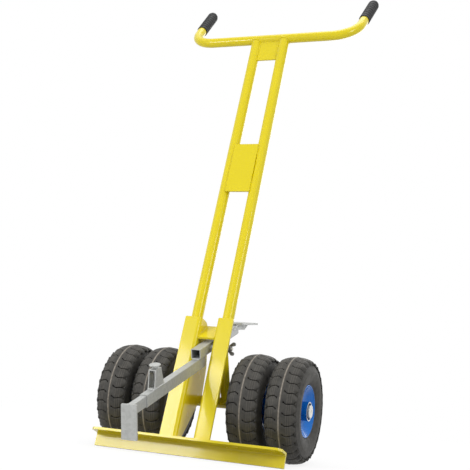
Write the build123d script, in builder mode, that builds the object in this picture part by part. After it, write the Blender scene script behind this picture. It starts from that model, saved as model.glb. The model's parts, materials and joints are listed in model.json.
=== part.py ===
from build123d import *

import os
from math import cos, radians, sin, sqrt, tan

os.makedirs("parts", exist_ok=True)

# Tile transport cart: two leaning uprights on a four-wheel axle, a toe angle on the floor, and
# a foot lever whose sliding hook grips a stack of tiles. Millimetres and degrees.
# X runs across the cart, Y to the back and Z up, from the middle of the floor space it takes.

# Stance
LEAN = 17.3  # uprights, back from the vertical
SETBACK = 96.0  # axle behind the upright tubes
LEVER_SLOPE = 18.0  # foot lever, rising to the back
GRIP_SLOPE = 45.0  # grips, rising to the back
GRIP_SPLAY = 2.6  # each grip, outwards

# Clearances
RUNNING = 0.05  # radial, on a shaft or a thread
SLIP = 0.3  # between faces that slide or turn past each other
BOLT_PLAY = 0.3  # radial, in a drilled hole

# Wheels
TYRE_R = 130.0
TYRE_W = 85.0
BELLY_R = 96.0  # where the tyre is widest
TREAD_W = 66.0
TREAD_DROP = 7.0  # crown to shoulder
TREAD_T = 9.0
LUG_COUNT = 31  # tread blocks round each side
LUG_FOOT_R = 115.0  # lower edge of a block's side
LUG_FOOT_W = 76.0  # over those edges
GROOVE_DEPTH = 5.0
GROOVE_W = 2.4
GROOVE_START = 7.0  # from the tread's middle
GROOVE_TURN = 16.5
GROOVE_SWAY = 2.4
FLARE_START = 24.0
FLARE_W = 7.0  # groove at the tread's edge
SIDEWALL_T = 5.0
BEAD_W = 10.0
BEAD_R = 51.0
SEAT_W = 40.0  # rim between its flared sides
RIM_R = 62.5
RIM_W = 63.0
RIM_T = 2.5
RIM_LIP_R = 1.8
DISH_DEPTH = 19.0
HUB_R = 23.5
HUB_INSET = 5.0  # hub end inside the tyre's widest line
BEARING_R = 21.0
BEARING_W = 12.0
BEARING_LIP = 3.0
BEARING_INSET = 3.5
VALVE_R = 3.5
VALVE_L = 24.0
VALVE_CAP_R = 4.2
VALVE_CAP_L = 9.0
VALVE_SINK = 6.0  # cap inside the rim's lip
VALVE_PLACE = 37.0  # from the axle
VALVE_TURN = 238.0  # round the wheel, from straight up

# Axle
AXLE_R = 10.0
AXLE_TUBE_R = 13.45
AXLE_TUBE_L = 160.0
SPACER_R = 16.0
SPACER_IN = 10.0  # axle tube to inner hub
SPACER_MID = 23.0  # inner hub to outer hub
WASHER_R = 14.5
WASHER_T = 4.0
CAP_R = 16.0
CAP_H = 4.0
CAP_T = 1.5
CAP_ROUND = 1.2
DIMPLE_R = 5.0
DIMPLE_DEPTH = 0.7
AXLE_BEVEL = 1.0

# Uprights and handlebar
PIPE_R = 15.0
PIPE_T = 2.0
TUBE_FOOT = 70.0  # above the axle, along the uprights
TUBE_NOTCH = 6.0
BAR_R = 14.0
BAR_T = 1.5
BAR_RISE = 1090.0
BAR_HALF = 258.0
BAR_BEND = 75.0
GRIP_START = 100.0
GRIP_L = 128.0
GRIP_T = 1.5
GRIP_END_T = 6.0
GRIP_ROUND = 6.0
RIB_COUNT = 9
RIB_H = 1.2
RIB_L = 7.0
RIB_FLANK = 60.0
TOP_PLATE_H = 66.0
TOP_PLATE_T = 4.0
TOP_PLATE_BACK = -6.0
MID_PLATE_W = 70.0
MID_PLATE_H = 152.0
MID_PLATE_RISE = 557.0
MID_PLATE_T = 4.5
MID_PLATE_SEAT = 0.5  # depth of the plate's edges into the gap between the tubes

# Folded lower uprights
PLATE_T = 6.0
WEB_GAP = 44.2
FLANGE_W = 43.6
FOLD_R = 9.0
UPRIGHT_TOP = 186.0
SHOULDER_BACK = 36.0
SHOULDER_R = 22.0
SHOULDER_DROP = 14.0
HIP_BACK = 76.0
HIP_RISE = 83.0
SEAT_BACK = 84.0
SEAT_RISE = 14.0
HEEL_BACK = 70.0
HEEL_RISE = -15.0
WEB_FOOT_BACK = 9.0
FLANGE_CORNER = 3.0

# Toe angle, cross plate and struts
TOE_HALF = 249.0
TOE_SHELF = 44.0
TOE_LEG = 37.5
TOE_T = 6.0
TOE_BACK = 13.0
TOE_CORNER = 9.0
TOE_ROOT_R = 5.0
CROSS_T = 5.0
CROSS_FRONT = -16.0
CROSS_BACK = 31.0
CROSS_LIFT = 17.5  # front edge above the pivot
CROSS_RISE = 48.0  # back edge above the front edge
STRUT_R = 12.5
STRUT_T = 2.3
STRUT_RISE = 120.0

# Pivot bolt and wing nut
PIVOT_RISE = 113.0
BOLT_R = 4.0
BOLT_HEAD_W = 13.0
BOLT_HEAD_L = 5.3
BOLT_TAIL = 3.0
BOLT_WASHER_R = 8.0
BOLT_WASHER_T = 1.6
NUT_R = 8.0
NUT_TOP_R = 6.5
NUT_L = 8.0
WING_SPAN = 34.0
WING_H = 17.0
WING_T = 3.0
WING_TIP_W = 8.0
WING_TIP_R = 3.6

# Foot lever
LEVER_W = 25.0
LEVER_T = 2.0
LEVER_FRONT = 67.0  # in front of the pivot
LEVER_BACK = 191.0
SLEEVE_R = 7.0
ARM_W = 18.0
ARM_H = 28.0
ARM_T = 1.2
ARM_FRONT = 348.0
ARM_BACK = 30.0
TUBE_CORNER = 2.0
PEDAL_W = 60.0
PEDAL_L = 125.0
PEDAL_T = 5.0
PEDAL_BACK = 304.0
PEDAL_DIP = 13.4  # pedal below the lever's slope
PEDAL_CORNER = 6.0
GUSSET_T = 3.0
GUSSET_TIP = 45.0  # from the pedal's back edge
GUSSET_SLANT = 28.0
GUSSET_DEPTH = 14.0

# Sliding hook and its clamp
HOOK_L = 308.0
HOOK_T = 2.0
HOOK_REACH = 410.0
HOOK_PLATE_T = 4.0
HOOK_PLATE_W = 37.0
HOOK_PLATE_H = 76.0
HOOK_PLATE_TILT = 4.5  # its foot, forward from square to the bar
HOOK_PLATE_CORNER = 2.0
CLAMP_PLACE = 287.0
CLAMP_FOOT_L = 45.0
CLAMP_TOP_L = 26.0
CLAMP_H = 41.0
CLAMP_T = 2.0
SCREW_R = 4.0
SCREW_NECK_R = 5.5
SCREW_NECK_L = 6.0
KNOB_R = 12.8
KNOB_T = 3.6
KNOB_BEVEL = 1.0
CLAMP_NUT_W = 13.0
CLAMP_NUT_L = 6.5

# Worked-out places
SIN_L, COS_L = sin(radians(LEAN)), cos(radians(LEAN))
SIN_A, COS_A = sin(radians(LEVER_SLOPE)), cos(radians(LEVER_SLOPE))
SIN_G, COS_G = sin(radians(GRIP_SLOPE)), cos(radians(GRIP_SLOPE))
SIN_S, COS_S = sin(radians(GRIP_SPLAY)), cos(radians(GRIP_SPLAY))

HUB_L = TYRE_W - 2 * HUB_INSET
INNER_WHEEL = AXLE_TUBE_L / 2 + SPACER_IN + HUB_L / 2
OUTER_WHEEL = INNER_WHEEL + HUB_L + SPACER_MID
HUB_END = OUTER_WHEEL + HUB_L / 2
RACE_GAP = BEARING_INSET - SLIP  # how far spacers and washers reach into a hub
CAP_IN = HUB_END - RACE_GAP + WASHER_T
AXLE_HALF = CAP_IN + CAP_H - CAP_T

WEB_IN = WEB_GAP / 2
TUBE_X = WEB_IN + PLATE_T + PIPE_R
FRONT = -PIPE_R - PLATE_T
FLANGE_OUT = WEB_IN + FLANGE_W
TOE_FOOT = (-TYRE_R + (TOE_BACK - SETBACK) * SIN_L) / COS_L
TOE_TOP = TOE_FOOT + TOE_LEG
TUBE_SIDE = TUBE_X + PIPE_R
BOLT_HOLE_R = BOLT_R + BOLT_PLAY

GRIP_BORE = BAR_R + RUNNING
GRIP_R = GRIP_BORE + GRIP_T
GRIP_END = GRIP_START + GRIP_L
BAR_END = GRIP_END - GRIP_END_T
MID_PLATE_BACK = MID_PLATE_SEAT - sqrt(PIPE_R**2 - (TUBE_X - MID_PLATE_W / 2) ** 2)

ARM_TOP = -LEVER_W / 2
ARM_MID = ARM_TOP - ARM_H / 2
HOOK_W = ARM_W - 2 * (ARM_T + SLIP)
HOOK_H = ARM_H - 2 * (ARM_T + SLIP)
CLAMP_TOP = ARM_TOP + CLAMP_H
SCREW_HOLE_R = SCREW_R + BOLT_PLAY
SCREW_TIP = ARM_TOP - ARM_T
PEDAL_LIFT = LEVER_W / 2 - (PEDAL_BACK - LEVER_BACK) * tan(radians(PEDAL_DIP))

# The origin halves the length from the hook plate's front edge to the grips' back ends
PIVOT_AHEAD = -SETBACK * COS_L + PIVOT_RISE * SIN_L
BAR_AHEAD = -SETBACK * COS_L + BAR_RISE * SIN_L
HOOK_FACE = HOOK_PLATE_T * cos(radians(LEVER_SLOPE - HOOK_PLATE_TILT))
FRONT_REACH = PIVOT_AHEAD - HOOK_REACH * COS_A - ARM_TOP * SIN_A - HOOK_FACE
GRIP_RUN = COS_G * COS_S  # how far a grip runs back for its length
BACK_REACH = (
    BAR_AHEAD
    + (GRIP_END - GRIP_ROUND) * GRIP_RUN
    + (GRIP_R - GRIP_ROUND) * sqrt(1 - GRIP_RUN**2)
    + GRIP_ROUND
)
AXLE_Y = -(FRONT_REACH + BACK_REACH) / 2


def frame_point(x, back, rise):
    """A place on the leaning frame: behind the tubes' axes and above the axle, along them."""
    behind_axle = back - SETBACK
    y = AXLE_Y + behind_axle * COS_L + rise * SIN_L
    z = TYRE_R + rise * COS_L - behind_axle * SIN_L
    return (x, y, z)


def level(rise, x=0.0):
    """Plane square to the uprights: its x runs across, its y to the back."""
    return Plane(frame_point(x, 0, rise), x_dir=(1, 0, 0), z_dir=(0, SIN_L, COS_L))


def flank(x=0.0):
    """Plane along the uprights, seen from the right: its x runs back, its y up the tubes."""
    return Plane(frame_point(x, 0, 0), x_dir=(0, COS_L, -SIN_L), z_dir=(1, 0, 0))


def lever_point(forward, lift):
    """A place on the lever's mid plane: in front of the pivot and above the lever's axis."""
    _, y, z = frame_point(0, 0, PIVOT_RISE)
    return (0, y - forward * COS_A - lift * SIN_A, z - forward * SIN_A + lift * COS_A)


def lever_section(forward, lift=0.0):
    """Plane across the lever, facing forward: its x runs across, its y up."""
    return Plane(lever_point(forward, lift), x_dir=(1, 0, 0), z_dir=(0, -COS_A, -SIN_A))


def lever_flank(forward=0.0, lift=0.0):
    """Plane along the lever, seen from the left: its x runs forward, its y up."""
    return Plane(lever_point(forward, lift), x_dir=(0, -COS_A, -SIN_A), z_dir=(-1, 0, 0))


def lever_deck(forward, lift):
    """Plane facing up off the lever: its x runs across, its y to the back."""
    return Plane(lever_point(forward, lift), x_dir=(1, 0, 0), z_dir=(0, -SIN_A, COS_A))


def axle_plane(x):
    """Plane across the axle, facing right."""
    return Plane((x, AXLE_Y, TYRE_R), x_dir=(0, 1, 0), z_dir=(1, 0, 0))


def wheel_section(x):
    """Half plane of a right wheel: its x runs outwards along the axle, its y out from it."""
    return Plane((x, AXLE_Y, TYRE_R), x_dir=(1, 0, 0), z_dir=(0, -1, 0))


AXLE = Axis((0, AXLE_Y, TYRE_R), (1, 0, 0))


def save(piece, name):
    """Label a finished piece and write it as its own file."""
    piece.part.label = name
    export_step(piece.part, f"parts/{name}.step")


def save_pair(right, name):
    """Write a right-hand piece and its mirror image on the left."""
    save(right, f"{name}_right")
    with BuildPart() as left:
        mirror(right.part, about=Plane.YZ)
    save(left, f"{name}_left")


# Wheels


seat_edge = (SEAT_W / 2, BEAD_R - RIM_T / 2)
lip = (RIM_W / 2, RIM_R)
flare = (lip[0] - seat_edge[0]) / (lip[1] - seat_edge[1])
flare_side = RIM_T / 2 * sqrt(1 + flare**2)
bead_top = lip[0] - flare_side
bead_heel = seat_edge[0] + RIM_T / 2 * flare - flare_side
shoulder = (TREAD_W / 2, TYRE_R - TREAD_DROP)
groove_floor = (TREAD_W / 2, TYRE_R - TREAD_DROP - GROOVE_DEPTH)
lining_shoulder = (TREAD_W / 2 - SIDEWALL_T, TYRE_R - TREAD_DROP - TREAD_T)
lug_foot = (LUG_FOOT_W / 2, LUG_FOOT_R)
lug_root = (0, TYRE_R - (GROOVE_DEPTH + TREAD_T) / 2)

# A plane facing out from the tread on each groove; the two sides lie half a block apart
groove_planes = []
for step in range(2 * LUG_COUNT):
    turn = radians(step * 180 / LUG_COUNT)
    out = Vector(0, sin(turn), cos(turn))
    across = (-1 if step % 2 else 1, 0, 0)
    groove_planes.append(Plane(Vector(0, AXLE_Y, TYRE_R) + out * TYRE_R, x_dir=across, z_dir=out))

# The tread is cut right through by its grooves, then the carcass closes it from below
with BuildPart() as tyre:
    with BuildSketch(wheel_section(0)):
        with BuildLine():
            crown = TangentArc((0, TYRE_R), shoulder, tangent=(1, 0))
            TangentArc(shoulder, lug_foot, tangent=crown % 1)
            Polyline(lug_foot, (TREAD_W / 2, LUG_FOOT_R), lug_root, crown @ 0)
        make_face()
        mirror(about=Plane.YZ)
    revolve(axis=AXLE)
    with BuildSketch(*groove_planes):
        with BuildLine():
            Polyline((GROOVE_START, GROOVE_SWAY), (GROOVE_TURN, -GROOVE_SWAY), (TYRE_W / 2, 0))
        trace(line_width=GROOVE_W)
        with BuildLine():
            Polyline(
                (FLARE_START, -GROOVE_W / 2),
                (TYRE_W / 2, -FLARE_W / 2),
                (TYRE_W / 2, FLARE_W / 2),
                close=True,
            )
        make_face()
    extrude(amount=-(TYRE_R - LUG_FOOT_R + GROOVE_DEPTH), mode=Mode.SUBTRACT)
    with BuildSketch(wheel_section(0)):
        with BuildLine():
            base = TangentArc((0, TYRE_R - GROOVE_DEPTH), groove_floor, tangent=(1, 0))
            ThreePointArc(groove_floor, (TYRE_W / 2, BELLY_R), (bead_top, RIM_R))
            Polyline(
                (bead_top, RIM_R),
                (bead_heel, BEAD_R),
                (bead_heel - BEAD_W, BEAD_R),
                (bead_top - BEAD_W, RIM_R),
            )
            ThreePointArc(
                (bead_top - BEAD_W, RIM_R), (TYRE_W / 2 - SIDEWALL_T, BELLY_R), lining_shoulder
            )
            lining = TangentArc((0, TYRE_R - TREAD_T), lining_shoulder, tangent=(1, 0))
            Line(lining @ 0, base @ 0)
        make_face()
        with Locations(lip):
            Circle(RIM_LIP_R + SLIP, mode=Mode.SUBTRACT)
        mirror(about=Plane.YZ)
    revolve(axis=AXLE)

for wheel_x, row in ((INNER_WHEEL, "inner"), (OUTER_WHEEL, "outer")):
    for place, hand in ((wheel_x, "right"), (-wheel_x, "left")):
        with BuildPart() as placed_tyre:
            with Locations((place, 0, 0)):
                add(tyre.part)
        save(placed_tyre, f"tyre_{row}_{hand}")

    dish_foot = (RIM_W / 2 - DISH_DEPTH, HUB_R - RIM_T)
    with BuildPart() as rim:
        with BuildSketch(wheel_section(wheel_x)):
            with BuildLine():
                Polyline((0, seat_edge[1]), seat_edge, lip)
            trace(line_width=RIM_T)
            with Locations(seat_edge):
                Circle(RIM_T / 2)
            with Locations(lip):
                Circle(RIM_LIP_R)
            with BuildLine():
                TangentArc(seat_edge, dish_foot, tangent=Vector(seat_edge) - Vector(lip))
            trace(line_width=RIM_T)
            Rectangle(RIM_W, HUB_R, align=(Align.MIN, Align.MIN), mode=Mode.SUBTRACT)
            mirror(about=Plane.YZ)
        revolve(axis=AXLE)
        with BuildSketch(axle_plane(wheel_x)):
            with PolarLocations(VALVE_PLACE, 1, start_angle=90 - VALVE_TURN):
                Circle(VALVE_R)
        extrude(amount=RIM_W, mode=Mode.SUBTRACT)
    save_pair(rim, f"rim_{row}")

    with BuildPart() as hub:
        with BuildSketch(wheel_section(wheel_x)):
            with Locations((0, HUB_R)):
                Rectangle(HUB_L, HUB_R - BEARING_R + BEARING_LIP, align=(Align.CENTER, Align.MAX))
            pocket = BEARING_W + BEARING_INSET
            with Locations((HUB_L / 2, BEARING_R), (pocket - HUB_L / 2, BEARING_R)):
                Rectangle(pocket, BEARING_R, align=(Align.MAX, Align.MAX), mode=Mode.SUBTRACT)
        revolve(axis=AXLE)
    save_pair(hub, f"hub_{row}")

    with BuildPart() as bearings:
        for start in (BEARING_INSET - HUB_L / 2, HUB_L / 2 - BEARING_INSET - BEARING_W):
            with BuildSketch(axle_plane(wheel_x + start)):
                Circle(BEARING_R)
                Circle(AXLE_R + RUNNING, mode=Mode.SUBTRACT)
            extrude(amount=BEARING_W)
    save_pair(bearings, f"bearings_{row}")

    with BuildPart() as valve:
        cap_x = wheel_x + RIM_W / 2 - VALVE_SINK - VALVE_CAP_L
        with BuildSketch(axle_plane(cap_x)):
            with PolarLocations(VALVE_PLACE, 1, start_angle=90 - VALVE_TURN):
                Circle(VALVE_CAP_R)
        extrude(amount=VALVE_CAP_L)
        with BuildSketch(axle_plane(cap_x)):
            with PolarLocations(VALVE_PLACE, 1, start_angle=90 - VALVE_TURN):
                Circle(VALVE_R)
        extrude(amount=-(VALVE_L - VALVE_CAP_L))
    save_pair(valve, f"valve_{row}")

# Axle, the tube that holds it and what sits on it

with BuildPart() as axle:
    with BuildSketch(axle_plane(0)):
        Circle(AXLE_R)
    extrude(amount=AXLE_HALF, both=True)
    chamfer(axle.edges(), AXLE_BEVEL)
save(axle, "axle")

with BuildPart() as axle_tube:
    with BuildSketch(axle_plane(0)):
        Circle(AXLE_TUBE_R)
        Circle(AXLE_R + RUNNING, mode=Mode.SUBTRACT)
    extrude(amount=AXLE_TUBE_L / 2, both=True)
save(axle_tube, "axle_tube")

with BuildPart() as axle_spacers:
    for start, length in (
        (AXLE_TUBE_L / 2, SPACER_IN + RACE_GAP),
        (INNER_WHEEL + HUB_L / 2 - RACE_GAP, SPACER_MID + 2 * RACE_GAP),
    ):
        with BuildSketch(axle_plane(start)):
            Circle(SPACER_R)
            Circle(AXLE_R + RUNNING, mode=Mode.SUBTRACT)
        extrude(amount=length)
    mirror(about=Plane.YZ)
save(axle_spacers, "axle_spacers")

with BuildPart() as axle_washers:
    with BuildSketch(axle_plane(HUB_END - RACE_GAP)):
        Circle(WASHER_R)
        Circle(AXLE_R + RUNNING, mode=Mode.SUBTRACT)
    extrude(amount=WASHER_T)
    mirror(about=Plane.YZ)
save(axle_washers, "axle_washers")

with BuildPart() as axle_caps:
    with BuildSketch(axle_plane(CAP_IN)):
        Circle(CAP_R)
    extrude(amount=CAP_H)
    fillet(axle_caps.edges().sort_by(Axis.X)[-1], CAP_ROUND)
    with BuildSketch(axle_plane(CAP_IN)):
        Circle(AXLE_R + RUNNING)
    extrude(amount=CAP_H - CAP_T, mode=Mode.SUBTRACT)
    with BuildSketch(axle_plane(CAP_IN + CAP_H)):
        Circle(DIMPLE_R)
    extrude(amount=-DIMPLE_DEPTH, mode=Mode.SUBTRACT)
    mirror(about=Plane.YZ)
save(axle_caps, "axle_caps")

# Uprights, handlebar and grips

with BuildPart() as upright_tube:
    with BuildSketch(level(TUBE_FOOT, TUBE_X)):
        Circle(PIPE_R)
        Circle(PIPE_R - PIPE_T, mode=Mode.SUBTRACT)
    extrude(amount=BAR_RISE - TUBE_NOTCH - TUBE_FOOT)
    with BuildSketch(flank()):
        with Locations((0, BAR_RISE)):
            Circle(BAR_R)
        with Locations((0, PIVOT_RISE)):
            Circle(BOLT_HOLE_R)
    extrude(amount=TUBE_SIDE + PIPE_R, mode=Mode.SUBTRACT)
save_pair(upright_tube, "upright_tube")

bar_plane = Plane(frame_point(0, 0, BAR_RISE), x_dir=(1, 0, 0), z_dir=(0, -SIN_G, COS_G))
with BuildPart() as handlebar:
    with BuildLine(bar_plane) as bar_path:
        tip_x, tip_y = BAR_HALF + BAR_END * SIN_S, BAR_END * COS_S
        FilletPolyline(
            (-tip_x, tip_y), (-BAR_HALF, 0), (BAR_HALF, 0), (tip_x, tip_y), radius=BAR_BEND
        )
    with BuildSketch(bar_path.line ^ 0):
        Circle(BAR_R)
        Circle(BAR_R - BAR_T, mode=Mode.SUBTRACT)
    sweep()
save(handlebar, "handlebar")

grip_axis = Plane(
    bar_plane.from_local_coords((BAR_HALF + GRIP_START * SIN_S, GRIP_START * COS_S, 0)),
    x_dir=(COS_S, -SIN_S * COS_G, -SIN_S * SIN_G),
    z_dir=bar_plane.z_dir,
)
with BuildPart() as grip:
    with BuildSketch(grip_axis):
        Rectangle(GRIP_R, GRIP_L, align=(Align.MIN, Align.MIN))
        rib_pitch = (GRIP_L - GRIP_ROUND) / RIB_COUNT
        for rib in range(RIB_COUNT):
            with Locations((GRIP_R, (rib + 0.5) * rib_pitch)):
                Trapezoid(RIB_L, RIB_H, RIB_FLANK, align=(Align.CENTER, Align.MIN), rotation=-90)
        Rectangle(
            GRIP_BORE, GRIP_L - GRIP_END_T, align=(Align.MIN, Align.MIN), mode=Mode.SUBTRACT
        )
    revolve(axis=Axis(grip_axis.origin, grip_axis.y_dir))
    end_rim = grip.edges().filter_by(GeomType.CIRCLE).sort_by(Axis(grip_axis.origin, grip_axis.y_dir))
    fillet(end_rim[-1], GRIP_ROUND)
save_pair(grip, "grip")

with BuildPart() as top_plate:
    with BuildSketch(flank()):
        with Locations((TOP_PLATE_BACK, BAR_RISE)):
            Rectangle(TOP_PLATE_T, TOP_PLATE_H + BAR_R, align=(Align.MIN, Align.MAX))
        with Locations((0, BAR_RISE)):
            Circle(BAR_R, mode=Mode.SUBTRACT)
    extrude(amount=TUBE_X, both=True)
    for place in (-TUBE_X, TUBE_X):
        with BuildSketch(level(TUBE_FOOT, place)):
            Circle(PIPE_R)
        extrude(amount=BAR_RISE, mode=Mode.SUBTRACT)
save(top_plate, "top_plate")

with BuildPart() as mid_plate:
    with BuildSketch(level(MID_PLATE_RISE)):
        with Locations((0, MID_PLATE_BACK)):
            Rectangle(MID_PLATE_W, MID_PLATE_T, align=(Align.CENTER, Align.MAX))
        with Locations((-TUBE_X, 0), (TUBE_X, 0)):
            Circle(PIPE_R, mode=Mode.SUBTRACT)
    extrude(amount=MID_PLATE_H)
save(mid_plate, "mid_plate")

# Folded lower uprights with the web that runs back to the axle tube

with BuildPart() as lower_upright:
    with BuildSketch(level(TOE_TOP)):
        with BuildLine():
            FilletPolyline(
                (WEB_IN + PLATE_T / 2, 0),
                (WEB_IN + PLATE_T / 2, FRONT + PLATE_T / 2),
                (FLANGE_OUT, FRONT + PLATE_T / 2),
                radius=FOLD_R - PLATE_T / 2,
            )
        trace(line_width=PLATE_T)
    extrude(amount=UPRIGHT_TOP - TOE_TOP)
    with BuildSketch(flank(WEB_IN)) as web:
        with BuildLine():
            Polyline(
                (FRONT + FOLD_R, TOE_TOP),
                (WEB_FOOT_BACK, TOE_TOP),
                (HEEL_BACK, HEEL_RISE),
                (SETBACK, 0),
                (SEAT_BACK, SEAT_RISE),
                (HIP_BACK, HIP_RISE),
                (SHOULDER_BACK, UPRIGHT_TOP - SHOULDER_DROP),
                (SHOULDER_BACK - SHOULDER_DROP, UPRIGHT_TOP),
                (FRONT + FOLD_R, UPRIGHT_TOP),
                close=True,
            )
        make_face()
        shoulder_corners = web.vertices().group_by(Axis.Y)[-2:]
        fillet([shoulder_corners[0][0], shoulder_corners[1].sort_by(Axis.X)[-1]], SHOULDER_R)
        with Locations((SETBACK, 0)):
            Circle(AXLE_TUBE_R, mode=Mode.SUBTRACT)
    extrude(amount=PLATE_T)
    with BuildSketch(flank(WEB_IN)):
        with Locations((0, PIVOT_RISE)):
            Circle(BOLT_HOLE_R)
    extrude(amount=PLATE_T, mode=Mode.SUBTRACT)
    flange_tip = frame_point(FLANGE_OUT, FRONT, UPRIGHT_TOP)
    tip_edges = lower_upright.edges().filter_by(Axis((0, 0, 0), (0, COS_L, -SIN_L)))
    fillet(tip_edges.sort_by_distance(flange_tip)[0], FLANGE_CORNER)
save_pair(lower_upright, "lower_upright")

# Toe angle, cross plate and struts

with BuildPart() as toe_angle:
    with BuildSketch(level(TOE_TOP - TOE_T)) as shelf:
        with Locations((0, TOE_BACK)):
            Rectangle(2 * TOE_HALF, TOE_SHELF, align=(Align.CENTER, Align.MAX))
        chamfer(shelf.vertices().group_by(Axis.Y)[0], TOE_CORNER)
    extrude(amount=TOE_T)
    with BuildSketch(flank()):
        with Locations((TOE_BACK, TOE_FOOT)):
            Rectangle(TOE_T, TOE_LEG, align=(Align.MAX, Align.MIN))
    extrude(amount=TOE_HALF, both=True)
    root = frame_point(0, TOE_BACK - TOE_T, TOE_TOP - TOE_T)
    fillet(toe_angle.edges().filter_by(Axis.X).sort_by_distance(root)[0], TOE_ROOT_R)
save(toe_angle, "toe_angle")

with BuildPart() as cross_plate:
    with BuildSketch(flank()):
        with BuildLine():
            Line(
                (CROSS_FRONT, PIVOT_RISE + CROSS_LIFT),
                (CROSS_BACK, PIVOT_RISE + CROSS_LIFT + CROSS_RISE),
            )
        trace(line_width=CROSS_T)
    extrude(amount=WEB_GAP / 2, both=True)
save(cross_plate, "cross_plate")

strut_head = Vector(frame_point(TUBE_X, 0, STRUT_RISE))
strut_foot = Vector(frame_point(TUBE_X, SETBACK, 0))
with BuildPart() as strut:
    with BuildSketch(Plane(strut_head, x_dir=(1, 0, 0), z_dir=strut_foot - strut_head)):
        Circle(STRUT_R)
        Circle(STRUT_R - STRUT_T, mode=Mode.SUBTRACT)
    extrude(amount=(strut_foot - strut_head).length)
    with BuildSketch(level(0, TUBE_X)):
        Circle(PIPE_R)
    extrude(amount=BAR_RISE, mode=Mode.SUBTRACT)
    with BuildSketch(flank(TUBE_X)):
        with Locations((SETBACK, 0)):
            Circle(AXLE_TUBE_R)
    extrude(amount=STRUT_R, both=True, mode=Mode.SUBTRACT)
save_pair(strut, "strut")

# Pivot bolt, its washers and the wing nut


def pivot_plane(x):
    """Plane across the pivot bolt, facing right, with its y up the uprights."""
    return Plane(frame_point(x, 0, PIVOT_RISE), x_dir=(0, COS_L, -SIN_L), z_dir=(1, 0, 0))


bolt_seat = TUBE_SIDE + BOLT_WASHER_T
nut_seat = bolt_seat + SLIP
with BuildPart() as pivot_bolt:
    with BuildSketch(pivot_plane(-bolt_seat)):
        RegularPolygon(BOLT_HEAD_W / 2, 6, major_radius=False)
    extrude(amount=-BOLT_HEAD_L)
    with BuildSketch(pivot_plane(-bolt_seat)):
        Circle(BOLT_R)
    extrude(amount=bolt_seat + nut_seat + NUT_L + BOLT_TAIL)
save(pivot_bolt, "pivot_bolt")

with BuildPart() as pivot_washers:
    with BuildSketch(pivot_plane(TUBE_SIDE)):
        Circle(BOLT_WASHER_R)
        Circle(BOLT_R + RUNNING, mode=Mode.SUBTRACT)
    extrude(amount=BOLT_WASHER_T)
    mirror(about=Plane.YZ)
save(pivot_washers, "pivot_washers")

with BuildPart() as wing_nut:
    with BuildSketch(pivot_plane(nut_seat)):
        Circle(NUT_R)
    with BuildSketch(pivot_plane(nut_seat + NUT_L)):
        Circle(NUT_TOP_R)
    loft()
    wing_plane = Plane(
        frame_point(nut_seat, 0, PIVOT_RISE), x_dir=(1, 0, 0), z_dir=(0, -COS_L, SIN_L)
    )
    with BuildSketch(wing_plane) as wing:
        with BuildLine():
            Polyline(
                (SLIP, 0),
                (SLIP, NUT_R),
                (WING_H - WING_TIP_W, WING_SPAN / 2),
                (WING_H, WING_SPAN / 2),
                (WING_H, WING_SPAN / 2 - WING_TIP_W),
                (NUT_L - SLIP, NUT_TOP_R),
                (NUT_L - SLIP, 0),
                close=True,
            )
        make_face()
        fillet(wing.vertices().sort_by(Axis.X)[-2:], WING_TIP_R)
        mirror(about=Plane.XZ)
    extrude(amount=WING_T / 2, both=True)
    with BuildSketch(pivot_plane(nut_seat)):
        Circle(BOLT_R + RUNNING)
    extrude(amount=WING_H, mode=Mode.SUBTRACT)
save(wing_nut, "wing_nut")

# Foot lever

with BuildPart() as lever_tube:
    with BuildSketch(lever_section(-LEVER_BACK)):
        RectangleRounded(LEVER_W, LEVER_W, TUBE_CORNER)
        Rectangle(LEVER_W - 2 * LEVER_T, LEVER_W - 2 * LEVER_T, mode=Mode.SUBTRACT)
    extrude(amount=LEVER_FRONT + LEVER_BACK)
    with BuildSketch(lever_flank()):
        Circle(SLEEVE_R)
    extrude(amount=LEVER_W, both=True, mode=Mode.SUBTRACT)
save(lever_tube, "lever_tube")

with BuildPart() as pivot_sleeve:
    with BuildSketch(lever_flank()):
        Circle(SLEEVE_R)
        Circle(BOLT_R + RUNNING, mode=Mode.SUBTRACT)
    extrude(amount=WEB_GAP / 2 - SLIP, both=True)
save(pivot_sleeve, "pivot_sleeve")

with BuildPart() as arm_tube:
    with BuildSketch(lever_section(ARM_BACK, ARM_MID)):
        RectangleRounded(ARM_W, ARM_H, TUBE_CORNER)
        Rectangle(ARM_W - 2 * ARM_T, ARM_H - 2 * ARM_T, mode=Mode.SUBTRACT)
    extrude(amount=ARM_FRONT - ARM_BACK)
    with BuildSketch(lever_deck(CLAMP_PLACE, ARM_MID)):
        Circle(SCREW_HOLE_R)
    extrude(amount=ARM_H, mode=Mode.SUBTRACT)
save(arm_tube, "arm_tube")

with BuildPart() as clamp_bracket:
    with BuildSketch(lever_flank(CLAMP_PLACE, ARM_TOP)):
        with BuildLine():
            Polyline(
                (-CLAMP_FOOT_L / 2, 0),
                (CLAMP_FOOT_L / 2, 0),
                (CLAMP_TOP_L / 2, CLAMP_H),
                (-CLAMP_TOP_L / 2, CLAMP_H),
                close=True,
            )
        make_face()
    extrude(amount=ARM_W / 2, both=True)
    with BuildSketch(lever_section(CLAMP_PLACE, ARM_TOP + CLAMP_H / 2)):
        Rectangle(ARM_W - 2 * CLAMP_T, CLAMP_H - 2 * CLAMP_T)
    extrude(amount=CLAMP_FOOT_L, both=True, mode=Mode.SUBTRACT)
    with BuildSketch(lever_deck(CLAMP_PLACE, ARM_TOP)):
        Circle(SCREW_HOLE_R)
    extrude(amount=CLAMP_H, mode=Mode.SUBTRACT)
save(clamp_bracket, "clamp_bracket")

with BuildPart() as clamp_nut:
    with BuildSketch(lever_deck(CLAMP_PLACE, CLAMP_TOP - CLAMP_T)):
        RegularPolygon(CLAMP_NUT_W / 2, 6, major_radius=False, rotation=30)
        Circle(SCREW_R + RUNNING, mode=Mode.SUBTRACT)
    extrude(amount=-CLAMP_NUT_L)
save(clamp_nut, "clamp_nut")

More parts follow.
